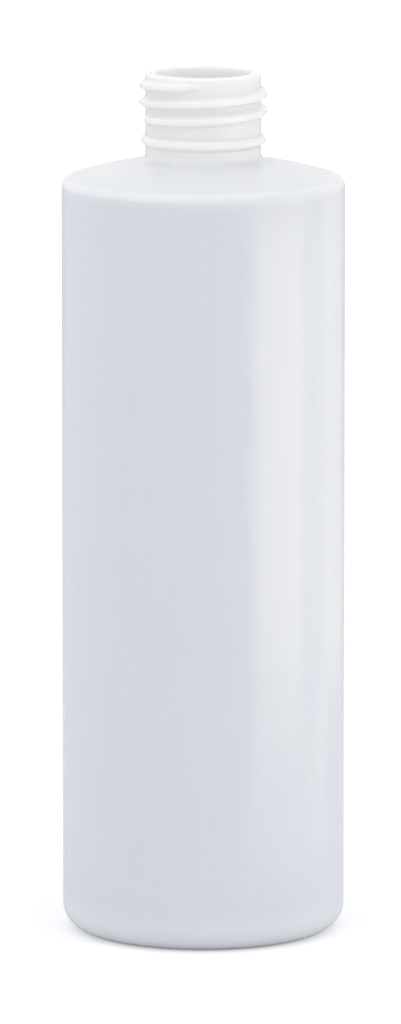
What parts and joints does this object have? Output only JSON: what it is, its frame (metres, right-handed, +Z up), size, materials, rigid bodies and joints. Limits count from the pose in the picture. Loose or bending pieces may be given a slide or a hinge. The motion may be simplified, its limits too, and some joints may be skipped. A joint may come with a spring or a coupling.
{
  "type": "cylindrical bottle",
  "caption": "Tall round blow-moulded bottle of milky translucent plastic, with a low domed shoulder and an open threaded neck.",
  "frame": {"origin": "middle of the base, in the plane that the foot ring stands on", "axes": "+Z up the bottle's axis towards the mouth, -Y towards the front, +X to the right of the front"},
  "size_m": [0.0524, 0.0524, 0.1604],
  "materials": {
    "natural_polyethylene": "uncoloured high-density polyethylene as blown: milky, faintly translucent, satin, thinner and softer to light in the body than in the neck"
  },
  "bodies": {
    "root": {"bottle": "natural_polyethylene"}
  },
  "joints": []
}
